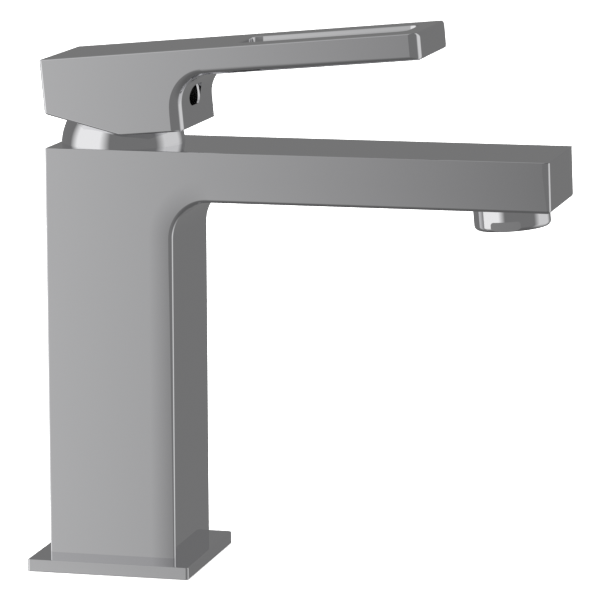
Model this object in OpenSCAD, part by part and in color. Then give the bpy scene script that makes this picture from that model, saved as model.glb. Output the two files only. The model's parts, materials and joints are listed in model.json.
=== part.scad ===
// Single-lever basin mixer with a square column, a straight cantilevered spout
// and a slotted flat lever over a spherical dome.
// Millimetres. +Z is up, z = 0 is the deck the base plate sits on, the column's axis is
// x = y = 0, and +X runs along the spout to the outlet.

/* [Body] */
// Side of the square column and width of the spout
body_w = 42; // [40:0.5:48]
// Height of the flat top of the body above the deck
body_h = 137.5; // [132:0.5:150]
// Distance from the column's axis to the end of the spout
spout_len = 142.9; // [136:0.1:170]
// Height of the spout's end
spout_h = 16.1; // [16:0.1:18]
// Radius of the hollow curve between the column and the spout
spout_fillet_r = 12; // [6:1:14]
// Thickness of the casting's walls
wall = 3; // [2.5:0.1:3.2]

/* [Base] */
// Side of the square base plate
plate_w = 54; // [53:0.5:60]
// Thickness of the base plate
plate_t = 4; // [3.5:0.1:6]

/* [Lever] */
// Width of the lever and its block
lever_w = 42; // [41:0.5:44]
// Length of the lever in front of the swivel axis
lever_reach = 102.2; // [98:0.1:120]
// Thickness of the lever's flat arm
lever_t = 8.6; // [8:0.1:10]
// How far the lever's arm points up when the valve is shut, in degrees
lever_pitch = 5.2; // [4:0.1:6]
// Width of the slot through the lever's arm
slot_w = 21; // [14:0.5:24]

/* [Valve] */
// How far the cartridge's axis is behind the column's axis
axis_back = 1; // [0:0.1:1.2]
// Height of the ball centre of the dome, where the lever's pin is
pivot_z = 136.2; // [136:0.1:136.4]
// Outer radius of the spherical dome
dome_r = 20.05; // [19.8:0.05:20.1]

/* [Outlet] */
// Distance from the column's axis to the centre of the aerator
outlet_x = 126.4; // [122:0.1:128]
// Outer radius of the aerator's chromed ring
aerator_r = 12.2; // [12.1:0.1:12.4]
// How far the outlet leans forward, in degrees
outlet_tilt = 5; // [3:0.5:6]

/* [Hidden] */

$fn = 96;
eps = 0.02;
axis_x = -axis_back;
half_w = body_w / 2;
spout_z = body_h - spout_h;

// Heights of the cartridge's seat and of the parts stacked on it
seat_z = body_h - 33.5;
deck_t = 6;
shoulder_z = seat_z + 27;
cavity_floor_z = 20;

// The cartridge's bore, its thread and the necks inside
seat_r = 17.5;
thread_r = 18.05;
neck_r = 14.5;
rotor_r = 12.4;
chamber_r = 14.6;

// Port positions from the cartridge's axis, and their radii
inlet_port = [4.2, 5.0];
inlet_port_r = 2.4;
outlet_port_x = -5.6;
outlet_port_r = 3.2;

// Threaded holes under the body: hose inlets M10 x 1 and a stud M8
hose_xy = [4.5, 8.2];
hose_thread_r = 4.5;
hose_thread_len = 13;
hose_bore_r = 4;
hose_tube_r = 6;
stud_x = -9.5;
stud_r = 3.4;
stud_len = 15;
spigot_r = 17;

// Passages that carry mixed water up past the cartridge to the spout
riser_xy = 16.3;
riser_r = 2.5;
riser_top_z = spout_z + 5.6;
riser_link_len = 8;

// The spindle leans forward when the valve is shut, and back by as much when it is open
spindle_lean = 10;
spindle_arm = 15;
spindle_top = 27;
spindle_x = 7;
spindle_y = 9;
ball_r = 3;
pin_r = 1.5;
disc_shift = -spindle_arm * sin(spindle_lean);

// Stack heights inside the cartridge
disc_z = seat_z + 7.2;
disc_t = 3.15;
slide_z = disc_z + disc_t + 0.05;
slide_t = 3.2;
carrier_z = slide_z + slide_t;
carrier_t = 5;
rotor_z = carrier_z + carrier_t + 1.4;
roof_z = shoulder_z - 1.4;
neck_top_z = pivot_z + 2.8;

// The lever's block, in the lever's own pitched frame with its origin on the swivel axis,
// at the lever's flat top
lever_top_z = body_h + 30.15;
block_back = -21.7;
block_front = 23.2;
block_h = 25.85;
block_back_h = 17.4;
block_flat_x = 2.5;
block_edge_r = 3.5;
under_fillet_r = 9.5;
tip_top_r = 1.5;
tip_bottom_r = 0.9;
lever_edge_r = 1;
slot_x0 = 41;
slot_x1 = 96;
slot_corner_r = 3.3;
cavity_r = dome_r + 0.55;

// The set screw, its hole and the oval recess at the hole's mouth in the front of the block
screw_y = -2.6;
screw_drop = 16;
screw_r = 3;
screw_len = 9;
screw_tip_r = 1.4;
screw_hole_r = 3.05;
recess_r = 3.3;
recess_w = 13;
recess_depth = 4.5;

// Aerator lengths, along its own axis from the spout's underside, positive outwards
aerator_out = 7.6;
aerator_collar_in = -1.6;
aerator_top = -9;
aerator_thread_r = 11.4;
aerator_bore_r = 10;
washer_t = 1.1;

// ---- shared shapes ----

// A rectangle with round corners, from its lowest corner to its highest
module round_rect(x0, y0, x1, y1, r) {
    translate([x0 + r, y0]) square([x1 - x0 - 2 * r, y1 - y0]);
    translate([x0, y0 + r]) square([x1 - x0, y1 - y0 - 2 * r]);
    for (x = [x0 + r, x1 - r], y = [y0 + r, y1 - r]) translate([x, y]) circle(r);
}

// What to take off a square corner at the origin, inside the first quadrant, to round it
module corner_waste(r) {
    difference() {
        translate([-eps, -eps]) square(r + eps);
        translate([r, r]) circle(r);
    }
}

// A flat ring
module ring(outer, inner, z0, z1) {
    translate([0, 0, z0]) difference() {
        cylinder(r = outer, h = z1 - z0);
        translate([0, 0, -1]) cylinder(r = inner, h = z1 - z0 + 2);
    }
}

// A rubber ring of round section
module o_ring(centre_r, section_r, z) {
    translate([0, 0, z]) rotate_extrude() translate([centre_r, 0]) circle(section_r, $fn = 48);
}

// A profile drawn in x and z, extruded across the width w
module across(w) {
    translate([0, w / 2, 0]) rotate([90, 0, 0]) linear_extrude(w) children();
}

// Puts children on the cartridge's axis
module on_valve_axis() {
    translate([axis_x, 0, 0]) children();
}

// Puts children in the spindle's frame: its pin at the origin, leaning as when shut
module on_spindle() {
    translate([axis_x, 0, pivot_z]) rotate([0, spindle_lean, 0]) children();
}

// Puts children in the lever's pitched frame
module on_lever() {
    translate([axis_x, 0, lever_top_z]) rotate([0, -lever_pitch, 0]) children();
}

// Puts children on the outlet's axis, +Z outwards from the spout's underside
module on_outlet() {
    translate([outlet_x, 0, spout_z]) rotate([0, 180 - outlet_tilt, 0]) children();
}

// Repeats children at the three ports, with the port's radius plus extra
module at_ports(z, h, extra) {
    for (side = [-1, 1]) {
        translate([inlet_port[0], side * inlet_port[1], z]) cylinder(r = inlet_port_r + extra, h = h);
    }
    translate([outlet_port_x, 0, z]) cylinder(r = outlet_port_r + extra, h = h);
}

// ---- body and base ----

// Side view of the column, the spout and the curve between them
module body_profile() {
    translate([-half_w, plate_t]) square([body_w, body_h - plate_t]);
    translate([-half_w, spout_z]) square([half_w + spout_len, spout_h]);
    translate([half_w, spout_z - spout_fillet_r]) difference() {
        translate([-eps, 0]) square([spout_fillet_r + eps, spout_fillet_r + eps]);
        translate([spout_fillet_r, 0]) circle(spout_fillet_r);
    }
}

module body_outside() {
    intersection() {
        across(body_w) body_profile();
        linear_extrude(body_h) round_rect(-half_w, -half_w, spout_len, half_w, lever_edge_r);
    }
    cylinder(r = spigot_r, h = plate_t + 1);
}

// The chamber for mixed water, with the two inlet tubes standing in it
module mixed_water_chamber() {
    inner = body_w - 2 * wall;
    difference() {
        translate([-inner / 2, -inner / 2, cavity_floor_z]) cube([inner, inner, seat_z - deck_t - cavity_floor_z]);
        for (side = [-1, 1]) {
            translate([hose_xy[0], side * hose_xy[1], cavity_floor_z - 1]) cylinder(r = hose_tube_r, h = seat_z);
        }
    }
    on_valve_axis() translate([outlet_port_x, 0, seat_z - deck_t - 1]) cylinder(r = outlet_port_r, h = deck_t + 2);
    for (side = [-1, 1]) {
        translate([riser_xy, side * riser_xy, seat_z - deck_t - 4]) {
            cylinder(r = riser_r, h = riser_top_z - seat_z + deck_t + 4);
        }
        translate([riser_xy, side * riser_xy, riser_top_z]) rotate([0, 90, 0]) cylinder(r = riser_r, h = riser_link_len);
    }
}

// The waterway along the spout, around the raised seat of the aerator
module spout_waterway() {
    difference() {
        translate([half_w + 1, -half_w + wall + 0.5, spout_z + wall]) {
            cube([spout_len - half_w - 1 - wall - 0.9, body_w - 2 * wall - 1, spout_h - 2 * wall]);
        }
        on_outlet() translate([0, 0, aerator_top - washer_t]) cylinder(r = aerator_thread_r + 2.6, h = spout_h);
    }
}

// Everything that is bored or cut for the inlets, the stud, the cartridge and the aerator
module body_bores() {
    for (side = [-1, 1]) {
        translate([hose_xy[0], side * hose_xy[1], -1]) cylinder(r = hose_thread_r, h = hose_thread_len + 1);
        translate([hose_xy[0], side * hose_xy[1], -1]) cylinder(r = hose_bore_r, h = seat_z - deck_t / 2 + 1);
        on_valve_axis() translate([inlet_port[0], side * inlet_port[1], seat_z - deck_t / 2 - 1]) {
            cylinder(r = inlet_port_r, h = deck_t);
        }
        on_valve_axis() translate([-2, side * 11.5, seat_z - 3]) cylinder(r = 1.6, h = 4);
    }
    translate([stud_x, 0, -1]) cylinder(r = stud_r, h = stud_len + 1);
    on_valve_axis() translate([0, 0, seat_z]) cylinder(r = seat_r, h = body_h);
    on_valve_axis() translate([0, 0, shoulder_z]) cylinder(r = thread_r, h = body_h);
    on_outlet() {
        translate([0, 0, aerator_top - washer_t]) cylinder(r = aerator_thread_r + 0.05, h = spout_h);
        translate([0, 0, aerator_collar_in - 0.1]) cylinder(r = aerator_r + 0.2, h = spout_h);
        translate([0, 0, aerator_top - washer_t - 4]) cylinder(r = 8, h = 6);
    }
    // groove for the O-ring round the spigot
    ring(spigot_r + 1, spigot_r - 1.5, 1.6, 3.4);
}

module body() {
    color("silver") difference() {
        body_outside();
        mixed_water_chamber();
        spout_waterway();
        body_bores();
    }
}

// Chromed square plate under the column
module base_plate() {
    half = plate_w / 2;
    color("silver") difference() {
        linear_extrude(plate_t) difference() {
            round_rect(-half, -half, half, half, 0.6);
            circle(spigot_r + 0.2);
        }
        ring(24.5, 19.5, -1, 1.6);
    }
}

// Rubber gasket in the plate's underside, level with the deck when clamped
module base_gasket() {
    color("dimgray") ring(24.4, 19.6, 0, 1.5);
}

// O-ring that centres the plate on the body's spigot
module plate_o_ring() {
    color("dimgray") o_ring(16.4, 0.75, 2.5);
}

// ---- cartridge ----

// Plastic foot of the cartridge, with its ports, seal seats and two locating pegs
module cartridge_base() {
    color("white") on_valve_axis() difference() {
        union() {
            translate([0, 0, seat_z + 0.05]) cylinder(r = 17.2, h = 2.45);
            translate([0, 0, seat_z + 1]) cylinder(r = chamber_r - 0.1, h = disc_z - seat_z - 1);
            for (side = [-1, 1]) translate([-2, side * 11.5, seat_z - 2.6]) cylinder(r = 1.5, h = 4);
        }
        at_ports(seat_z - 1, 12, 0);
        at_ports(seat_z - 1, 2.6, 1.7);
        at_ports(disc_z - 0.75, 2, 1.0);
    }
}

// Three rubber rings between the cartridge's foot and the seat in the body
module port_seals() {
    color("dimgray") on_valve_axis() difference() {
        at_ports(seat_z + 0.05, 1.5, 1.65);
        at_ports(seat_z - 1, 4, 0.1);
    }
}

// Three flat rubber rings under the fixed ceramic disc
module disc_seal() {
    color("dimgray") on_valve_axis() difference() {
        at_ports(disc_z - 0.72, 0.7, 0.95);
        at_ports(disc_z - 2, 4, 0.1);
    }
}

// Plastic case of the cartridge: a tube, a roof and a neck with two stops on its rim
module cartridge_housing() {
    color("white") on_valve_axis() {
        difference() {
            union() {
                translate([0, 0, seat_z + 2.55]) cylinder(r = seat_r - 0.1, h = shoulder_z - seat_z - 2.55);
                translate([0, 0, shoulder_z - 1]) cylinder(r = neck_r, h = neck_top_z - shoulder_z + 1);
            }
            translate([0, 0, seat_z]) cylinder(r = chamber_r, h = roof_z - seat_z);
            translate([0, 0, roof_z - 1]) cylinder(r = rotor_r + 0.2, h = neck_top_z);
        }
        for (side = [-1, 1]) rotate(180 + side * 58) {
            translate([13.1, -1.2, neck_top_z - 0.5]) cube([1.3, 2.4, 2.5]);
        }
    }
}

// Fixed ceramic disc with two inlet ports and one outlet port
module fixed_disc() {
    color("ivory") on_valve_axis() difference() {
        translate([0, 0, disc_z]) cylinder(r = chamber_r - 0.15, h = disc_t);
        at_ports(disc_z - 1, disc_t + 2, 0);
    }
}

// Ceramic disc that slides to open and turns to mix; its hollow joins inlets to outlet
module moving_disc() {
    color("ivory") on_valve_axis() translate([disc_shift, 0, slide_z]) difference() {
        cylinder(r = 11.2, h = slide_t);
        intersection() {
            translate([0, 0, -1]) cylinder(r = 9.9, h = 2.8);
            translate([-12, -12, -1]) cube([13.4, 24, 2.8]);
        }
        for (side = [-1, 1]) translate([0, side * 8, slide_t - 1]) cylinder(r = 1.5, h = 2);
    }
}

// Plastic carrier on the moving disc, with a socket for the spindle's ball
module disc_carrier() {
    color("orange") on_valve_axis() translate([disc_shift, 0, carrier_z]) {
        difference() {
            cylinder(r = 11.3, h = carrier_t);
            translate([0, 0, 0.5]) cylinder(r = ball_r + 0.1, h = carrier_t);
        }
        for (side = [-1, 1]) translate([0, side * 8, -0.9]) cylinder(r = 1.4, h = 2);
    }
}

// Plastic guide that turns with the lever and holds the spindle's pin
module spindle_guide() {
    color("orange") on_valve_axis() difference() {
        union() {
            translate([0, 0, rotor_z]) cylinder(r = chamber_r - 0.3, h = roof_z - rotor_z - 0.1);
            translate([0, 0, rotor_z]) cylinder(r = rotor_r, h = pivot_z + 2.6 - rotor_z);
            translate([0, 0, rotor_z]) cylinder(r = 9.5, h = pivot_z + 5.6 - rotor_z);
        }
        translate([-5.6, -spindle_y / 2 - 0.1, rotor_z - 1]) cube([11.2, spindle_y + 0.2, 30]);
        translate([0, 15, pivot_z]) rotate([90, 0, 0]) cylinder(r = pin_r + 0.02, h = 30);
    }
}

// Steel pin that the spindle rocks on
module spindle_pin() {
    color("gray") on_valve_axis() translate([0, rotor_r - 0.2, pivot_z]) rotate([90, 0, 0]) {
        cylinder(r = pin_r, h = 2 * (rotor_r - 0.2));
    }
}

// Brass spindle: square shank, pin hole, lower stem and ball
module spindle() {
    color("goldenrod") on_spindle() difference() {
        union() {
            translate([-spindle_x / 2, -spindle_y / 2, -5]) cube([spindle_x, spindle_y, spindle_top + 5]);
            translate([0, 0, -spindle_arm]) cylinder(r = 2.2, h = spindle_arm);
            translate([0, 0, -spindle_arm]) sphere(ball_r);
        }
        translate([0, 15, 0]) rotate([90, 0, 0]) cylinder(r = pin_r + 0.05, h = 30);
    }
}

// Plastic ring on the guide, with a tab that meets the housing's stops
module temperature_limit_ring() {
    z0 = neck_top_z + 0.1;
    color("red") on_valve_axis() {
        difference() {
            union() {
                translate([0, 0, z0]) cylinder(r = 12.6, h = 1.9);
                translate([-14.2, -1.6, z0]) cube([4, 3.2, 1.9]);
            }
            translate([0, 0, z0 - 1]) cylinder(r = 9.55, h = 4);
        }
    }
}

// Brass nut that clamps the cartridge, with six notches for its spanner
module cartridge_nut() {
    top_z = body_h + 4;
    color("goldenrod") on_valve_axis() difference() {
        union() {
            translate([0, 0, shoulder_z + 0.05]) cylinder(r = thread_r - 0.05, h = body_h - shoulder_z - 0.3);
            translate([0, 0, body_h - 1]) cylinder(r = 17.3, h = 5);
        }
        translate([0, 0, shoulder_z - 1]) cylinder(r = neck_r + 0.2, h = 30);
        for (k = [0:5]) rotate(k * 60) translate([15.8, -1.5, top_z - 1.5]) cube([3, 3, 3]);
        ring(18.5, 16.1, body_h + 0.25, body_h + 2.55);
    }
}

// O-ring on the nut that the dome cap grips
module dome_o_ring() {
    color("dimgray") on_valve_axis() o_ring(17.25, 1.1, body_h + 1.4);
}

// Chromed spherical cap over the cartridge, open at the top for the spindle
module dome_cap() {
    cap_top_z = pivot_z + 12.4;
    color("silver") on_valve_axis() intersection() {
        difference() {
            translate([0, 0, pivot_z]) sphere(dome_r);
            translate([0, 0, pivot_z]) sphere(dome_r - 1.4);
        }
        translate([0, 0, body_h]) cylinder(r = dome_r + 5, h = cap_top_z - body_h);
    }
}

// ---- lever ----

// Side view of the lever and its block in the lever's frame: x forward, y up
module lever_profile() {
    difference() {
        union() {
            polygon([
                [block_back, 0],
                [lever_reach, 0],
                [lever_reach, -lever_t],
                [block_front, -lever_t],
                [block_front, -block_h],
                [block_flat_x, -block_h],
                [block_back, -block_back_h]
            ]);
            translate([block_front, -lever_t - under_fillet_r]) difference() {
                translate([-eps, 0]) square([under_fillet_r + eps, under_fillet_r + eps]);
                translate([under_fillet_r, 0]) circle(under_fillet_r);
            }
        }
        translate([lever_reach, 0]) rotate(180) corner_waste(tip_top_r);
        translate([lever_reach, -lever_t]) rotate(90) corner_waste(tip_bottom_r);
        translate([block_back, 0]) rotate(-90) corner_waste(lever_edge_r);
    }
}

// Plan of the lever's block, with its front corners rounded, above and below the arm
module block_plan() {
    half = lever_w / 2;
    round_rect(block_back, -half, block_front, half, block_edge_r);
    round_rect(block_back, -half, 0, half, lever_edge_r);
}

module lever_outside() {
    half = lever_w / 2;
    // the arm, the full length of the lever
    intersection() {
        across(lever_w) lever_profile();
        translate([0, 0, -lever_t]) linear_extrude(lever_t) {
            round_rect(block_back, -half, lever_reach, half, 2);
        }
    }
    // the block below it
    intersection() {
        across(lever_w) lever_profile();
        translate([0, 0, -block_h]) linear_extrude(block_h - lever_t + eps) block_plan();
    }
    // the hollow curve in front of the block
    intersection() {
        across(lever_w - 2 * block_edge_r + 2) lever_profile();
        translate([0, -half, -block_h]) cube([60, lever_w, block_h]);
    }
}

// The screw's hole, along the lever, from the block's front face to the spindle
module screw_hole() {
    translate([0, screw_y, -screw_drop]) rotate([0, 90, 0]) {
        cylinder(r = screw_hole_r, h = 50);
        translate([0, 0, block_front - recess_depth]) linear_extrude(50) {
            round_rect(-recess_r, -recess_w / 2, recess_r, recess_w / 2, recess_r - eps);
        }
    }
}

// Chromed lever with a slotted arm, a hollow for the dome and a socket for the spindle
module handle() {
    half_slot = slot_w / 2;
    gap = 0.03;
    color("silver") difference() {
        union() {
            difference() {
                on_lever() lever_outside();
                translate([axis_x, 0, pivot_z]) sphere(cavity_r);
            }
            on_spindle() translate([0, 0, 13]) cylinder(r = 7.2, h = 10);
        }
        on_spindle() translate([-spindle_x / 2 - gap, -spindle_y / 2 - gap, 0]) {
            cube([spindle_x + 2 * gap, spindle_y + 2 * gap, spindle_top + 0.3]);
        }
        on_lever() {
            screw_hole();
            translate([0, 0, -lever_t - 1]) linear_extrude(lever_t + 2) {
                round_rect(slot_x0, -half_slot, slot_x1, half_slot, slot_corner_r);
            }
        }
    }
}

// Steel set screw that clamps the lever to the spindle, with a hexagon socket
module set_screw() {
    // where the screw's flat tip meets the front of the leaning spindle
    total_lean = spindle_lean + lever_pitch;
    pin_depth = lever_top_z - pivot_z;
    rise = pin_depth * cos(lever_pitch) - screw_drop + screw_tip_r;
    face_x = rise * tan(total_lean) - pin_depth * sin(lever_pitch) + spindle_x / 2 / cos(total_lean) + 0.05;
    color("gray") on_lever() translate([face_x, screw_y, -screw_drop]) rotate([0, 90, 0]) difference() {
        union() {
            cylinder(r = screw_tip_r, h = 1.2);
            translate([0, 0, 1]) cylinder(r = screw_r, h = screw_len - 1);
        }
        translate([0, 0, screw_len - 3]) cylinder(r = 1.73, h = 4, $fn = 6);
    }
}

// ---- aerator ----

// Chromed ring with a threaded neck, two spanner flats and a lip at the mouth
module aerator_housing() {
    flat_y = aerator_r - 1;
    color("silver") on_outlet() difference() {
        union() {
            translate([0, 0, aerator_top]) cylinder(r = aerator_thread_r, h = aerator_out - aerator_top - 1);
            translate([0, 0, aerator_collar_in]) cylinder(r = aerator_r, h = aerator_out - aerator_collar_in - 0.8);
            translate([0, 0, aerator_out - 0.8]) cylinder(r1 = aerator_r, r2 = aerator_r - 0.8, h = 0.8);
        }
        translate([0, 0, aerator_top - 1]) cylinder(r = aerator_bore_r, h = aerator_out - aerator_top + 1 - 1.2);
        cylinder(r = aerator_bore_r - 1, h = aerator_out + 1);
        for (side = [-1, 1]) translate([-4.8, side * (flat_y + 2) - 2, aerator_out - 3.4]) cube([9.6, 4, 5]);
    }
}

// Rubber washer between the aerator and its seat
module aerator_washer() {
    color("dimgray") on_outlet() ring(11.3, 8.2, aerator_top - washer_t + 0.05, aerator_top - 0.05);
}

// Plastic inlet screen, drilled with rings of small holes
module aerator_screen() {
    color("white") on_outlet() translate([0, 0, aerator_top + 0.4]) linear_extrude(1) difference() {
        circle(aerator_bore_r - 0.1);
        for (ring_no = [1:3], k = [0:ring_no * 6 - 1]) {
            rotate(k * 60 / ring_no) translate([ring_no * 2.7, 0]) circle(0.7, $fn = 16);
        }
    }
}

// Plastic mixing cup, with jets in its roof and air slots in its wall
module aerator_insert() {
    cup_top = aerator_top + 1.5;
    cup_end = 2.4;
    color("white") on_outlet() difference() {
        translate([0, 0, cup_top]) cylinder(r = aerator_bore_r - 0.1, h = cup_end - cup_top);
        translate([0, 0, cup_top + 2]) cylinder(r = aerator_bore_r - 1.6, h = 20);
        for (k = [0:11]) {
            rotate(k * 30) translate([6, 0, cup_top - 1]) cylinder(r = 0.8, h = 5, $fn = 16);
            rotate(k * 30) translate([aerator_bore_r - 2, -0.8, cup_end - 3.5]) cube([4, 1.6, 2]);
        }
    }
}

// Plastic honeycomb at the mouth that straightens the stream
module flow_straightener() {
    pitch = 2.7;
    rows = 3;
    color("white") on_outlet() translate([0, 0, 2.5]) linear_extrude(3.7) difference() {
        circle(aerator_bore_r - 0.1);
        for (i = [-rows:rows], j = [-rows:rows]) {
            if (abs(i + j) <= rows) {
                translate([pitch * (i + j / 2), pitch * j * sin(60)]) rotate(30) circle(1.35, $fn = 6);
            }
        }
    }
}

body();
base_plate();
base_gasket();
plate_o_ring();
cartridge_base();
port_seals();
cartridge_housing();
fixed_disc();
disc_seal();
moving_disc();
disc_carrier();
spindle_guide();
spindle_pin();
spindle();
temperature_limit_ring();
cartridge_nut();
dome_o_ring();
dome_cap();
handle();
set_screw();
aerator_housing();
aerator_washer();
aerator_screen();
aerator_insert();
flow_straightener();
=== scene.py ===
import json
import math

import bpy
from mathutils import Matrix, Vector


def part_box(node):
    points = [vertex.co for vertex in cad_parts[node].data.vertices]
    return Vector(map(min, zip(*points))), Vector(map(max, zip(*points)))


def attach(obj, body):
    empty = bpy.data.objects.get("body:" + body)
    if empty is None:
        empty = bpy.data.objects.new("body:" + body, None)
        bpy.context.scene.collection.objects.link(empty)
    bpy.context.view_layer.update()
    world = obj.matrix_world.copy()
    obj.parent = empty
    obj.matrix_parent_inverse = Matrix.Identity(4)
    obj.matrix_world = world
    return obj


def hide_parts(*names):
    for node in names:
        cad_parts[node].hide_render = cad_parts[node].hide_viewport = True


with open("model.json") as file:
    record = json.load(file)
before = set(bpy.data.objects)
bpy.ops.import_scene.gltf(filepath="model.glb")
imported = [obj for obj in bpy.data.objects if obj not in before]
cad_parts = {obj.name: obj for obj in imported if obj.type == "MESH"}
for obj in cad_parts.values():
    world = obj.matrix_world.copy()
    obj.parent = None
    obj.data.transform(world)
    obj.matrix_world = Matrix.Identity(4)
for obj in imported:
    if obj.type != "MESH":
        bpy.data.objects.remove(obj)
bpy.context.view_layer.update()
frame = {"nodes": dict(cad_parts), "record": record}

MM = 0.001
NODES = frame["nodes"]
JOINTS = {j["name"]: j for j in frame["record"]["behaviour"]["joints"]}

# ---------------------------------------------------------------- places taken from the frame

BODY_LO, BODY_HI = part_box("body")
PLATE_LO, PLATE_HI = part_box("base_plate")
PIVOT = Vector(JOINTS["lever_lift"]["pos_m"])
AXIS_X = PIVOT.x / MM
PIVOT_Z = PIVOT.z / MM

BODY_W = (BODY_HI[1] - BODY_LO[1]) / MM
BODY_H = BODY_HI[2] / MM
SPOUT_LEN = BODY_HI[0] / MM
PLATE_W = (PLATE_HI[1] - PLATE_LO[1]) / MM
PLATE_T = PLATE_HI[2] / MM

# ---------------------------------------------------------------- sizes in millimetres

HALF_W = BODY_W / 2
SPOUT_H = 16.1
SPOUT_Z = BODY_H - SPOUT_H
SPOUT_FILLET = 12.0
END_LEAN = 0.6
END_SKIN = 0.3
SPIGOT_R = 17.0

SEAT_Z = BODY_H - 33.5
SHOULDER_Z = SEAT_Z + 27.0
SEAT_R = 17.5
THREAD_R = 18.05

HOSE_XY = (4.5, 8.2)
HOSE_R = 4.5
HOSE_LEN = 13.0
STUD_X = -9.5
STUD_R = 3.4
STUD_LEN = 15.0

LEVER_PITCH = math.radians(5.2)
LEVER_TOP_Z = BODY_H + 30.15
LEVER_W = 42.0
LEVER_REACH = 102.2
LEVER_T = 8.6
BLOCK_BACK = -21.7
BLOCK_FRONT = 23.2
BLOCK_H = 25.85
BLOCK_BACK_H = 17.4
BLOCK_FLAT_X = 2.5
UNDER_FILLET = 9.5
SLOT_X0 = 41.0
SLOT_X1 = 96.0
SLOT_HALF = 10.5
SLOT_CORNER = 3.3
SLOT_RIM = 0.4
SLOT_SLOPE_IN = 1.1
SLOT_SLOPE_END = 3.0

SCREW_Y = -2.6
SCREW_DROP = 16.0
SCREW_HOLE_R = 3.05
RECESS_R = 3.3
RECESS_W = 13.0
RECESS_DEPTH = 4.5
RECESS_BEVEL_W = 0.9
RECESS_BEVEL_D = 0.45

DOME_R = 20.05
DOME_WALL = 1.4
DOME_TOP = 12.4
CAVITY_R = DOME_R + 0.55
SPINDLE_LEAN = math.radians(10)
BOSS_R = 7.2
BOSS_LO = 13.0
BOSS_HI = 23.0

OUTLET_X = 126.4
OUTLET_TILT = math.radians(5)
RING_R = 12.2
RING_OUT = 7.6
RING_IN = -1.6
RING_TOP = -9.0
RING_NECK_R = 11.4
RING_BORE_R = 10.0
RING_LIP_R = 9.0
RING_EDGE = 1.6
FLAT_HALF = 4.8
FLAT_DEPTH = 1.0
FLAT_H = 3.3

PLATE_HOLE_R = 17.2
GASKET_R0 = 19.5
GASKET_R1 = 24.5
GASKET_T = 1.6

TO_LEVER = (
    Matrix.Translation((AXIS_X, 0, LEVER_TOP_Z))
    @ Matrix.Rotation(-LEVER_PITCH, 4, "Y")
)
TO_OUTLET = (
    Matrix.Translation((OUTLET_X, 0, SPOUT_Z))
    @ Matrix.Rotation(math.pi - OUTLET_TILT, 4, "Y")
)
TO_SPINDLE = (
    Matrix.Translation((AXIS_X, 0, PIVOT_Z))
    @ Matrix.Rotation(SPINDLE_LEAN, 4, "Y")
)
TO_VALVE = Matrix.Translation((AXIS_X, 0, 0))

# bevel widths; MAX_BEVEL is the one that a bevel weight of 1 stands for
MAX_BEVEL = 4.0
FOOT_BEVEL = 0.5
COLUMN_BEVELS = ((0.35, 0.7), (0.6, 0.9), (0.8, 1.1), (0.92, 1.3))
HOLLOW_BEVEL = 1.3
END_NEAR_BEVELS = (1.1, 1.4, 1.8, 2.2)
END_FAR_BEVEL = 2.4
END_LOW_BEVEL = 1.2
TOP_BEVEL = 0.3
TOP_NEAR_BEVEL = 0.25
BACK_BEVEL = 0.5
NECK_BEVELS = (3.5, 2.2)
ARM_BEVELS = ((0.25, 2.0), (0.5, 1.75), (0.75, 1.5))
TIP_SIDE_BEVEL = 3.3
TIP_TOP_BEVEL = 1.5
TIP_LOW_BEVEL = 0.9

# how far the cutters and the joined pieces reach past each other
OVERLAP = 2.0

# The polish eases the body's flat sides off: by EASE_TURN at the hollow edge, from EASE_REACH away,
# and on the spout's end by END_TURN at its far side, from END_REACH away.
EASE_REACH = 7.8
EASE_TURN = math.radians(1.95)
END_REACH = 9.0
END_TURN = math.radians(8)


# ---------------------------------------------------------------- node helpers

def new_material(name):
    mat = bpy.data.materials.new(name)
    mat.use_nodes = True
    return mat, mat.node_tree, mat.node_tree.nodes["Principled BSDF"]


def node(tree, kind, **inputs):
    made = tree.nodes.new(kind)
    for key, value in inputs.items():
        made.inputs[key.replace("_", " ")].default_value = value
    return made


def math_node(tree, operation, a, b=None):
    made = tree.nodes.new("ShaderNodeMath")
    made.operation = operation
    for slot, value in enumerate((a, b)):
        if value is None:
            continue
        if isinstance(value, (int, float)):
            made.inputs[slot].default_value = value
        else:
            tree.links.new(value, made.inputs[slot])
    return made.outputs[0]


def object_noise(tree, scale, detail=3.0):
    coord = tree.nodes.new("ShaderNodeTexCoord")
    noise = node(tree, "ShaderNodeTexNoise", Scale=scale, Detail=detail)
    tree.links.new(coord.outputs["Object"], noise.inputs["Vector"])
    return noise.outputs["Fac"]


def spread(tree, value, low, high):
    made = node(tree, "ShaderNodeMapRange", To_Min=low, To_Max=high)
    made.inputs["From Min"].default_value = 0.3
    made.inputs["From Max"].default_value = 0.7
    tree.links.new(value, made.inputs["Value"])
    return made.outputs["Result"]


def surface(name, colour, rough, metallic=0.0, grain=900.0, bump=0.0, mottle=0.0):
    """A plain material with a fine grain: roughness, bump and colour vary with noise."""
    mat, tree, shader = new_material(name)
    shader.inputs["Metallic"].default_value = metallic
    fine = object_noise(tree, grain)
    tree.links.new(spread(tree, fine, rough[0], rough[1]), shader.inputs["Roughness"])
    if mottle:
        wide = object_noise(tree, grain / 12, 4.0)
        ramp = tree.nodes.new("ShaderNodeValToRGB")
        low = [max(0.0, c * (1 - mottle)) for c in colour]
        ramp.color_ramp.elements[0].color = (*low, 1)
        ramp.color_ramp.elements[1].color = (*colour, 1)
        ramp.color_ramp.elements[0].position = 0.35
        ramp.color_ramp.elements[1].position = 0.65
        tree.links.new(wide, ramp.inputs["Fac"])
        tree.links.new(ramp.outputs["Color"], shader.inputs["Base Color"])
    else:
        shader.inputs["Base Color"].default_value = (*colour, 1)
    if bump:
        made = node(tree, "ShaderNodeBump", Strength=bump, Distance=0.0002)
        tree.links.new(fine, made.inputs["Height"])
        tree.links.new(made.outputs["Normal"], shader.inputs["Normal"])
    return mat


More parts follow.
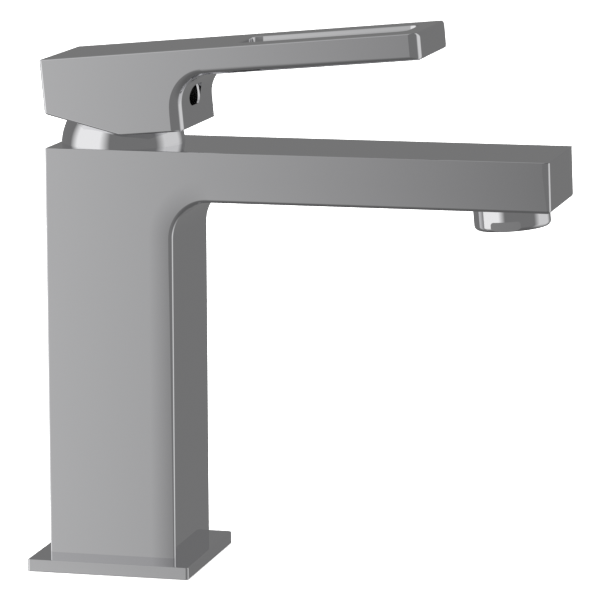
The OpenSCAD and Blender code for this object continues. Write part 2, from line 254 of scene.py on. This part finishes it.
def chrome_material(name):
    """Polished chrome plate: a very faint haze and waviness in the polish."""
    mat, tree, shader = new_material(name)
    shader.inputs["Metallic"].default_value = 1.0
    shader.inputs["Base Color"].default_value = (0.80, 0.80, 0.815, 1)
    haze = object_noise(tree, 45.0, 4.0)
    tree.links.new(spread(tree, haze, 0.02, 0.04), shader.inputs["Roughness"])
    wave = object_noise(tree, 28.0, 1.0)
    bump = node(tree, "ShaderNodeBump", Strength=0.02, Distance=0.0004)
    tree.links.new(wave, bump.inputs["Height"])
    tree.links.new(bump.outputs["Normal"], shader.inputs["Normal"])
    return mat, tree, bump


def body_chrome():
    """Chrome whose flats ease off towards the hollow edge and the spout end's far side."""
    mat, tree, wave = chrome_material("polished_chrome_body")
    coord = tree.nodes.new("ShaderNodeTexCoord")
    split = tree.nodes.new("ShaderNodeSeparateXYZ")
    tree.links.new(coord.outputs["Object"], split.inputs[0])
    centre_x = (HALF_W + SPOUT_FILLET) * MM
    centre_z = (SPOUT_Z - SPOUT_FILLET) * MM
    behind = math_node(tree, "SUBTRACT", centre_x, split.outputs["X"])
    across = math_node(tree, "MAXIMUM", behind, 0.0)
    over = math_node(tree, "SUBTRACT", split.outputs["Z"], centre_z)
    above = math_node(tree, "MAXIMUM", over, 0.0)
    square = math_node(
        tree, "ADD", math_node(tree, "MULTIPLY", across, across), math_node(tree, "MULTIPLY", above, above)
    )
    from_edge = math_node(tree, "SUBTRACT", math_node(tree, "SQRT", square), SPOUT_FILLET * MM)
    to_side = math_node(tree, "SUBTRACT", HALF_W * MM, split.outputs["Y"])
    past_end = math_node(tree, "GREATER_THAN", split.outputs["X"], (SPOUT_LEN - END_LEAN - END_SKIN) * MM)
    drops = []
    for distance, reach, turn in ((from_edge, EASE_REACH, EASE_TURN), (to_side, END_REACH, END_TURN)):
        left = math_node(tree, "MAXIMUM", math_node(tree, "SUBTRACT", reach * MM, distance), 0.0)
        share = -math.tan(turn) / (2 * reach * MM)
        drops.append(math_node(tree, "MULTIPLY", math_node(tree, "MULTIPLY", left, left), share))
    drop = math_node(tree, "ADD", drops[0], math_node(tree, "MULTIPLY", drops[1], past_end))
    ease = node(tree, "ShaderNodeBump", Strength=1.0, Distance=1.0)
    tree.links.new(drop, ease.inputs["Height"])
    tree.links.new(ease.outputs["Normal"], wave.inputs["Normal"])
    return mat


CHROME = chrome_material("polished_chrome")[0]
BODY_CHROME = body_chrome()
# Painted shade: a near-black matt material standing in for the shade inside the lever's screw recess and
# its hole.
SHADOW = surface("painted_shade_recess", (0.02, 0.02, 0.02), (0.45, 0.60), 0.0, 1200, 0.3, 0.3)
CAST = surface("raw_cast_brass", (0.60, 0.47, 0.24), (0.30, 0.50), 1.0, 1500, 0.4, 0.25)
BRASS = surface("machined_brass", (0.75, 0.60, 0.30), (0.18, 0.32), 1.0, 1800, 0.2, 0.10)
STEEL = surface("machined_steel", (0.46, 0.46, 0.47), (0.22, 0.38), 1.0, 2000, 0.2, 0.12)
RUBBER = surface("black_rubber", (0.018, 0.018, 0.019), (0.60, 0.80), 0.0, 1600, 0.5, 0.30)
WHITE = surface("white_plastic", (0.80, 0.80, 0.78), (0.35, 0.48), 0.0, 1400, 0.1, 0.06)
ORANGE = surface("orange_plastic", (0.75, 0.27, 0.05), (0.35, 0.48), 0.0, 1400, 0.1, 0.10)
RED = surface("red_plastic", (0.60, 0.04, 0.03), (0.35, 0.48), 0.0, 1400, 0.1, 0.10)
CERAMIC = surface("lapped_ceramic", (0.86, 0.84, 0.78), (0.12, 0.22), 0.0, 1400, 0.05, 0.05)
SLOT_MATERIALS = {
    "chrome": CHROME, "brass": BRASS, "steel": STEEL, "rubber": RUBBER,
    "white_plastic": WHITE, "orange_plastic": ORANGE, "red_plastic": RED,
    "ceramic": CERAMIC,
}


# ---------------------------------------------------------------- mesh helpers

def mesh_object(name, points, faces, material, matrix=None):
    """A new object from points in millimetres, placed by matrix, which is in millimetres too."""
    placed = [(matrix @ Vector(p)) * MM if matrix else Vector(p) * MM for p in points]
    mesh = bpy.data.meshes.new(name)
    mesh.from_pydata(placed, [], faces)
    mesh.validate()
    mesh.materials.append(material)
    made = bpy.data.objects.new(name, mesh)
    bpy.context.scene.collection.objects.link(made)
    return made


def arc(cx, cz, r, a0, a1, steps):
    """Points on an arc from angle a0 to a1, in degrees, both ends included."""
    turns = [math.radians(a0 + (a1 - a0) * i / steps) for i in range(steps + 1)]
    return [(cx + r * math.cos(t), cz + r * math.sin(t)) for t in turns]


def side_prism(name, outline, width, material, matrix=None):
    """A side view drawn in x and z, extruded across y, with each edge's bevel as its weight.

    outline holds (x, z, cross, near, far): cross is the bevel of the edge across y at this
    point, near and far those of the two side edges from this point to the next.
    """
    count = len(outline)
    half = width / 2
    points = [(p[0], -half, p[1]) for p in outline] + [(p[0], half, p[1]) for p in outline]
    faces = [list(range(count)), list(reversed(range(count, 2 * count)))]
    for i in range(count):
        j = (i + 1) % count
        faces.append([j, i, i + count, j + count])
    made = mesh_object(name, points, faces, material, matrix)
    weights = {}
    for i, (_, _, cross, near, far) in enumerate(outline):
        j = (i + 1) % count
        weights[frozenset((i, i + count))] = cross
        weights[frozenset((i, j))] = near
        weights[frozenset((i + count, j + count))] = far
    layer = made.data.attributes.new("bevel_weight_edge", "FLOAT", "EDGE")
    for edge in made.data.edges:
        layer.data[edge.index].value = weights.get(frozenset(edge.vertices), 0.0) / MAX_BEVEL
    return made


def lathe(name, profile, material, matrix=None, steps=128):
    """A closed profile of (radius, height) turned about z."""
    points = []
    rows = []
    for r, z in profile:
        if r < 1e-6:
            rows.append([len(points)] * steps)
            points.append((0, 0, z))
            continue
        rows.append(list(range(len(points), len(points) + steps)))
        for k in range(steps):
            turn = 2 * math.pi * k / steps
            points.append((r * math.cos(turn), r * math.sin(turn), z))
    faces = []
    for i, low in enumerate(rows):
        high = rows[(i + 1) % len(rows)]
        for k in range(steps):
            n = (k + 1) % steps
            ring = [low[k], low[n], high[n], high[k]]
            kept = [v for at, v in enumerate(ring) if v != ring[at - 1]]
            if len(set(kept)) > 2:
                faces.append(kept)
    return mesh_object(name, points, faces, material, matrix)


def round_rect(x0, y0, x1, y1, r, steps=8):
    """A rectangle with round corners, counter-clockwise."""
    corners = (
        (x1 - r, y0 + r, -90), (x1 - r, y1 - r, 0), (x0 + r, y1 - r, 90), (x0 + r, y0 + r, 180)
    )
    points = []
    for cx, cy, start in corners:
        points += arc(cx, cy, r, start, start + 90, steps)
    return points


def stack(name, rings, material, matrix=None):
    """A closed solid through rings of points that all have the same count."""
    count = len(rings[0])
    points = [p for ring in rings for p in ring]
    faces = [list(reversed(range(count))), list(range(len(points) - count, len(points)))]
    for level in range(len(rings) - 1):
        base = level * count
        for i in range(count):
            j = (i + 1) % count
            faces.append([base + i, base + j, base + j + count, base + i + count])
    return mesh_object(name, points, faces, material, matrix)


def applied(made):
    """Replaces the object's mesh by what its modifiers make of it."""
    graph = bpy.context.evaluated_depsgraph_get()
    mesh = bpy.data.meshes.new_from_object(made.evaluated_get(graph))
    made.modifiers.clear()
    old = made.data
    made.data = mesh
    bpy.data.meshes.remove(old)
    return made


def bevelled(made, segments=6):
    bevel = made.modifiers.new("bevel", "BEVEL")
    bevel.limit_method = "WEIGHT"
    bevel.offset_type = "OFFSET"
    bevel.width = MAX_BEVEL * MM
    bevel.segments = segments
    bevel.use_clamp_overlap = False
    bevel.miter_outer = "MITER_SHARP"
    return applied(made)


def combined(made, operation, *others):
    for other in others:
        step = made.modifiers.new("combine", "BOOLEAN")
        step.operation = operation
        step.solver = "EXACT"
        step.object = other
        step.material_mode = "TRANSFER"
        applied(made)
        bpy.data.objects.remove(other)
    return made


def polished(made, sharp=32.0):
    """Smooth shading with true flats: sharp edges stay sharp, large faces keep their normal."""
    made.data.shade_smooth()
    made.data.set_sharp_from_angle(angle=math.radians(sharp))
    weighted = made.modifiers.new("normals", "WEIGHTED_NORMAL")
    weighted.keep_sharp = True
    weighted.weight = 100
    return applied(made)


def finish_piece(made, name, body, slot, *replaced):
    made.name = name
    made.data.name = name
    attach(made, body)
    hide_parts(*replaced)
    return made


# ---------------------------------------------------------------- body

def body_outline():
    """The column and spout in side view, anticlockwise from the foot's back corner."""
    front = HALF_W
    low = SPOUT_Z - SPOUT_FILLET
    out = [(-HALF_W, PLATE_T, 0.0, 0.0, 0.0), (front, PLATE_T, 0.0, FOOT_BEVEL, FOOT_BEVEL)]
    for share, side in COLUMN_BEVELS:
        out.append((front, PLATE_T + (low - PLATE_T) * share, 0.0, side, side))
    for x, z in arc(front + SPOUT_FILLET, low, SPOUT_FILLET, 180, 90, 20):
        out.append((x, z, 0.0, HOLLOW_BEVEL, HOLLOW_BEVEL))
    for step, near in enumerate(END_NEAR_BEVELS):
        share = step / len(END_NEAR_BEVELS)
        cross = 0.0 if step else END_LOW_BEVEL
        out.append((SPOUT_LEN - END_LEAN * share, SPOUT_Z + SPOUT_H * share, cross, near, END_FAR_BEVEL))
    out.append((SPOUT_LEN - END_LEAN, BODY_H, TOP_BEVEL, TOP_NEAR_BEVEL, TOP_BEVEL))
    out.append((-HALF_W, BODY_H, TOP_BEVEL, BACK_BEVEL, BACK_BEVEL))
    return out


def build_body():
    made = bevelled(side_prism("body_casting", body_outline(), BODY_W, BODY_CHROME))
    made.data.materials.append(CAST)
    root = PLATE_T + OVERLAP
    spigot = lathe("spigot", [(0, 0), (SPIGOT_R, 0), (SPIGOT_R, root), (0, root)], CAST)
    combined(made, "UNION", spigot)
    top = BODY_H + OVERLAP
    cuts = [lathe(
        "bore",
        [(0, SEAT_Z), (SEAT_R, SEAT_Z), (SEAT_R, SHOULDER_Z),
         (THREAD_R, SHOULDER_Z), (THREAD_R, top), (0, top)],
        CAST, TO_VALVE,
    )]
    cuts.append(lathe(
        "outlet",
        [(0, -11), (RING_NECK_R + 0.05, -11), (RING_NECK_R + 0.05, RING_IN - 0.1),
         (RING_R + 0.2, RING_IN - 0.1), (RING_R + 0.2, 8), (0, 8)],
        CAST, TO_OUTLET,
    ))
    hose_x, hose_y = HOSE_XY
    holes = [(hose_x, side * hose_y, HOSE_R, HOSE_LEN) for side in (1, -1)]
    holes.append((STUD_X, 0, STUD_R, STUD_LEN))
    for x, y, r, depth in holes:
        place = Matrix.Translation((x, y, 0))
        outline = [(0, -OVERLAP), (r, -OVERLAP), (r, depth), (0, depth)]
        cuts.append(lathe("hole", outline, CAST, place, 64))
    combined(made, "DIFFERENCE", *cuts)
    finish_piece(polished(made), "body_casting", "fixed", "chrome", "body")


def build_plate():
    half = PLATE_W / 2
    rim = 0.35
    foot = 0.15
    corner = 0.8
    levels = [(0, foot), (foot, 0), (PLATE_T - rim, 0), (PLATE_T - rim * 0.3, rim * 0.3), (PLATE_T, rim)]
    rings = []
    for z, inset in levels:
        edge = half - inset
        rings.append([(x, y, z) for x, y in round_rect(-edge, -edge, edge, edge, corner)])
    made = stack("base_plate_chrome", rings, CHROME)
    made.data.materials.append(CAST)
    above = PLATE_T + OVERLAP
    hole = lathe("hole", [(0, -OVERLAP), (PLATE_HOLE_R, -OVERLAP), (PLATE_HOLE_R, above), (0, above)], CAST)
    groove = lathe(
        "groove",
        [(GASKET_R0, -OVERLAP), (GASKET_R1, -OVERLAP), (GASKET_R1, GASKET_T), (GASKET_R0, GASKET_T)],
        CAST,
    )
    combined(made, "DIFFERENCE", hole, groove)
    finish_piece(polished(made), "base_plate_chrome", "fixed", "chrome", "base_plate")


# ---------------------------------------------------------------- dome and aerator

def build_dome():
    """The spherical cap, a shell with a flat ring round the hole at its top."""
    low = BODY_H - PIVOT_Z
    inner = DOME_R - DOME_WALL
    start = math.asin(low / DOME_R)
    end = math.asin(DOME_TOP / DOME_R)
    inner_start = math.asin(low / inner)
    inner_end = math.asin(DOME_TOP / inner)
    steps = 28
    profile = []
    for i in range(steps + 1):
        t = start + (end - start) * i / steps
        profile.append((DOME_R * math.cos(t), PIVOT_Z + DOME_R * math.sin(t)))
    for i in range(steps + 1):
        t = inner_end + (inner_start - inner_end) * i / steps
        profile.append((inner * math.cos(t), PIVOT_Z + inner * math.sin(t)))
    made = lathe("dome_cap_chrome", profile, CHROME, TO_VALVE, 160)
    finish_piece(polished(made), "dome_cap_chrome", "fixed", "chrome", "dome_cap")


def build_ring():
    """The aerator's chromed ring, with a rounded mouth and two spanner flats."""
    chamfer = 0.2
    profile = [(RING_NECK_R, RING_TOP), (RING_NECK_R, RING_IN)]
    profile += [(RING_R - chamfer, RING_IN), (RING_R, RING_IN + chamfer)]
    profile += arc(RING_R - RING_EDGE, RING_OUT - RING_EDGE, RING_EDGE, 0, 90, 10)
    profile += arc(RING_LIP_R + 0.5, RING_OUT - 0.5, 0.5, 90, 180, 5)
    profile += [(RING_LIP_R, RING_OUT - 1.2), (RING_BORE_R, RING_OUT - 1.2), (RING_BORE_R, RING_TOP)]
    made = lathe("aerator_ring_chrome", profile, CHROME, TO_OUTLET, 144)
    for side in (-1, 1):
        wall = RING_R - FLAT_DEPTH
        far = RING_R + 3
        outline = round_rect(-FLAT_HALF, RING_OUT - FLAT_H, FLAT_HALF, RING_OUT + 4, 1.0)
        rings = [[(x, side * y, z) for x, z in outline] for y in (wall, far)]
        if side < 0:
            rings.reverse()
        rings.reverse()
        combined(made, "DIFFERENCE", stack("flat", rings, CHROME, TO_OUTLET))
    finish_piece(polished(made), "aerator_ring_chrome", "fixed", "chrome", "aerator_housing")


# ---------------------------------------------------------------- lever

def lever_outline():
    """The lever in side view in its own pitched frame, anticlockwise from the back's foot."""
    out = [(BLOCK_BACK, -BLOCK_BACK_H, 0.9, 0.7, 0.7), (BLOCK_FLAT_X, -BLOCK_H, 3.5, 0.6, 0.6)]
    out.append((BLOCK_FRONT, -BLOCK_H, 0.5, 3.6, 3.6))
    curve = arc(BLOCK_FRONT + UNDER_FILLET, -LEVER_T - UNDER_FILLET, UNDER_FILLET, 180, 90, 20)
    wide, narrow = NECK_BEVELS
    for i, (x, z) in enumerate(curve):
        side = wide + (narrow - wide) * i / len(curve)
        out.append((x, z, 0.0, side, side))
    start = BLOCK_FRONT + UNDER_FILLET
    for share, side in ARM_BEVELS:
        out.append((start + (LEVER_REACH - start) * share, -LEVER_T, 0.0, side, side))
    out.append((LEVER_REACH, -LEVER_T, TIP_LOW_BEVEL, TIP_SIDE_BEVEL, TIP_SIDE_BEVEL))
    out.append((LEVER_REACH, 0, TIP_TOP_BEVEL, 0.4, 0.4))
    out.append((BLOCK_BACK, 0, 0.5, 0.9, 0.9))
    return out


def slot_cutter():
    """The slot through the arm: rounded rims, and long walls that slope in below the top."""
    levels = [(2.0, SLOT_RIM, 0.0), (0.0, SLOT_RIM, 0.0)]
    for i in (1, 2, 3, 4):
        depth = SLOT_RIM * i / 4
        flare = SLOT_RIM - math.sqrt(SLOT_RIM ** 2 - (SLOT_RIM - depth) ** 2)
        levels.append((-depth, flare, 0.0))
    levels.append((-SLOT_SLOPE_END, 0.0, SLOT_SLOPE_IN))
    levels.append((SLOT_RIM - LEVER_T, 0.0, SLOT_SLOPE_IN))
    levels.append((-LEVER_T, SLOT_RIM, SLOT_SLOPE_IN))
    levels.append((-LEVER_T - 2.0, SLOT_RIM, SLOT_SLOPE_IN))
    rings = []
    for z, flare, inward in reversed(levels):
        half = SLOT_HALF + flare - inward
        plan = round_rect(SLOT_X0 - flare, -half, SLOT_X1 + flare, half, SLOT_CORNER + flare)
        rings.append([(x, y, z) for x, y in plan])
    return stack("slot", rings, CHROME, TO_LEVER)


def recess_ring(x, inward):
    """The oval outline of the recess in the block's front, at x, narrowed across by inward."""
    half = RECESS_W / 2 - inward
    plan = round_rect(
        SCREW_Y - half, -SCREW_DROP - RECESS_R, SCREW_Y + half, -SCREW_DROP + RECESS_R,
        RECESS_R - 0.01, 12,
    )
    return [(x, y, z) for y, z in plan]


def build_lever():
    made = bevelled(side_prism("lever_chrome", lever_outline(), LEVER_W, CHROME, TO_LEVER))
    sphere = [(0, -CAVITY_R)] + arc(0, 0, CAVITY_R, -88, 88, 60) + [(0, CAVITY_R)]
    cavity = lathe("cavity", sphere, CHROME, Matrix.Translation((AXIS_X, 0, PIVOT_Z)), 160)
    low = BLOCK_FRONT - RECESS_DEPTH
    far = BLOCK_FRONT + 22
    rings = [recess_ring(BLOCK_FRONT - RECESS_BEVEL_D, RECESS_BEVEL_W), recess_ring(BLOCK_FRONT, 0)]
    mouth = stack("mouth", rings + [recess_ring(far, 0)], CHROME, TO_LEVER)
    # The recess and the screw hole are cut with the painted-shade material, so their walls show painted
    # shade instead of chrome.
    rings = [recess_ring(low, RECESS_BEVEL_W), recess_ring(far, RECESS_BEVEL_W)]
    recess = stack("recess", rings, SHADOW, TO_LEVER)
    across = (
        TO_LEVER @ Matrix.Translation((0, SCREW_Y, -SCREW_DROP)) @ Matrix.Rotation(math.pi / 2, 4, "Y")
    )
    end = low + 1
    hole = lathe("hole", [(0, 0), (SCREW_HOLE_R, 0), (SCREW_HOLE_R, end), (0, end)], SHADOW, across, 64)
    made.data.materials.append(SHADOW)
    combined(made, "DIFFERENCE", cavity, slot_cutter(), mouth, recess, hole)
    boss = lathe(
        "boss",
        [(0, BOSS_LO), (BOSS_R, BOSS_LO), (BOSS_R, BOSS_HI), (0, BOSS_HI)], CHROME, TO_SPINDLE, 64,
    )
    combined(made, "UNION", boss)
    finish_piece(polished(made), "lever_chrome", "lever", "chrome", "handle")


build_body()
build_plate()
build_dome()
build_ring()
build_lever()

# ---------------------------------------------------------------- finishes on the CAD pieces

for entry in frame["record"]["subparts"]:
    piece = NODES[entry["node"]]
    if not piece.data.materials:
        piece.data.materials.append(None)
    for holder in piece.material_slots:
        holder.material = SLOT_MATERIALS[entry["material_slot"]]


# ---------------------------------------------------------------- studio

# What the chrome mirrors: a plain studio of grey floor, walls and ceiling with two soft lights. For each
# sine of elevation there are stops of (azimuth in degrees, tone), where tone is the grey, out of 255,
# that the chrome shows. Azimuth 0 is in front of the tap (-Y) and 90 past the spout's end (+X).
CHROME_SHARE = 0.80
SKY_SCALE = 2.0
FLOOR_TONE = 90
WALL_TONE = 110
CEILING_TONE = 140
KEY_TONE = 230
FILL_TONE = 200
FLOOR = [(-180, FLOOR_TONE), (180, FLOOR_TONE)]
WALLS = [
    (-180, WALL_TONE), (-100, WALL_TONE), (-80, KEY_TONE), (-30, KEY_TONE), (-10, WALL_TONE),
    (80, WALL_TONE), (100, FILL_TONE), (140, FILL_TONE), (160, WALL_TONE), (180, WALL_TONE),
]
CEILING = [(-180, CEILING_TONE), (180, CEILING_TONE)]
STUDIO = [(-0.8, FLOOR), (-0.3, WALLS), (0.5, WALLS), (0.8, CEILING)]


def tone(value):
    """What the studio must emit for the chrome to show this grey."""
    share = value / 255
    linear = share / 12.92 if share <= 0.04045 else ((share + 0.055) / 1.055) ** 2.4
    return linear / CHROME_SHARE / SKY_SCALE


def build_studio():
    world = bpy.data.worlds.new("studio")
    bpy.context.scene.world = world
    world.use_nodes = True
    tree = world.node_tree
    tree.nodes.clear()
    coord = tree.nodes.new("ShaderNodeTexCoord")
    split = tree.nodes.new("ShaderNodeSeparateXYZ")
    tree.links.new(coord.outputs["Generated"], split.inputs[0])
    flipped = math_node(tree, "MULTIPLY", split.outputs["Y"], -1.0)
    turn = math_node(tree, "ARCTAN2", split.outputs["X"], flipped)
    share = math_node(tree, "ADD", math_node(tree, "DIVIDE", turn, 2 * math.pi), 0.5)
    height = split.outputs["Z"]

    def band(stops):
        ramp = tree.nodes.new("ShaderNodeValToRGB")
        elements = ramp.color_ramp.elements
        elements.remove(elements[-1])
        for i, (azimuth, value) in enumerate(stops):
            at = azimuth / 360 + 0.5
            element = elements[0] if i == 0 else elements.new(at)
            element.position = at
            element.color = (*[tone(value)] * 3, 1)
        tree.links.new(share, ramp.inputs["Fac"])
        return ramp.outputs["Color"]

    def blend(low, high, start, stop):
        mix = tree.nodes.new("ShaderNodeMix")
        mix.data_type = "RGBA"
        step = node(tree, "ShaderNodeMapRange")
        step.inputs["From Min"].default_value = start
        step.inputs["From Max"].default_value = stop
        tree.links.new(height, step.inputs["Value"])
        tree.links.new(step.outputs["Result"], mix.inputs[0])
        tree.links.new(low, mix.inputs[6])
        tree.links.new(high, mix.inputs[7])
        return mix.outputs[2]

    colour = band(STUDIO[0][1])
    for (low, _), (high, stops) in zip(STUDIO, STUDIO[1:]):
        colour = blend(colour, band(stops), low, high)
    background = node(tree, "ShaderNodeBackground", Strength=SKY_SCALE)
    tree.links.new(colour, background.inputs["Color"])
    output = tree.nodes.new("ShaderNodeOutputWorld")
    tree.links.new(background.outputs[0], output.inputs["Surface"])


FLOOR_REACH = 5.0


def build_floor():
    floor_z = PLATE_LO[2]
    signs = ((-1, -1), (1, -1), (1, 1), (-1, 1))
    corners = [(FLOOR_REACH * x, FLOOR_REACH * y, floor_z) for x, y in signs]
    mesh = bpy.data.meshes.new("floor")
    mesh.from_pydata(corners, [], [[0, 1, 2, 3]])
    mesh.materials.append(surface("pale_floor", (0.93, 0.93, 0.93), (0.75, 0.90), 0.0, 60, 0.0, 0.01))
    floor = bpy.data.objects.new("floor", mesh)
    bpy.context.scene.collection.objects.link(floor)
    floor.visible_glossy = False


LAMP_SIZE = 4.0
LAMP_HEIGHT = 2.2
LAMP_POWER = 230.0


def build_lamp():
    """A wide soft lamp overhead for the floor; the chrome mirrors only the studio."""
    data = bpy.data.lights.new("lamp", "AREA")
    data.shape = "SQUARE"
    data.size = LAMP_SIZE
    data.energy = LAMP_POWER
    lamp = bpy.data.objects.new("lamp", data)
    bpy.context.scene.collection.objects.link(lamp)
    lamp.location = (0, 0, LAMP_HEIGHT)
    lamp.visible_glossy = False
    lamp.visible_camera = False


CAMERA_PLACE = (0.3603, -1.2009, 0.30085)
CAMERA_YAW = math.radians(14.15)
CAMERA_PITCH = math.radians(9.76)
CAMERA_ROLL = math.radians(-0.20)
CAMERA_LENS = 234.58


def build_camera():
    data = bpy.data.cameras.new("camera")
    data.lens = CAMERA_LENS
    data.sensor_width = 36.0
    data.clip_start = 0.05
    camera = bpy.data.objects.new("camera", data)
    bpy.context.scene.collection.objects.link(camera)
    back = Vector((
        math.sin(CAMERA_YAW) * math.cos(CAMERA_PITCH),
        -math.cos(CAMERA_YAW) * math.cos(CAMERA_PITCH),
        math.sin(CAMERA_PITCH),
    ))
    right = Vector((0, 0, 1)).cross(back).normalized()
    up = back.cross(right)
    basis = Matrix((right, up, back)).transposed()
    turn = Matrix.Rotation(CAMERA_ROLL, 3, "Z")
    camera.matrix_world = Matrix.Translation(CAMERA_PLACE) @ (basis @ turn).to_4x4()
    bpy.context.scene.camera = camera


build_studio()
build_floor()
build_lamp()
build_camera()
bpy.context.scene.view_settings.view_transform = "Standard"
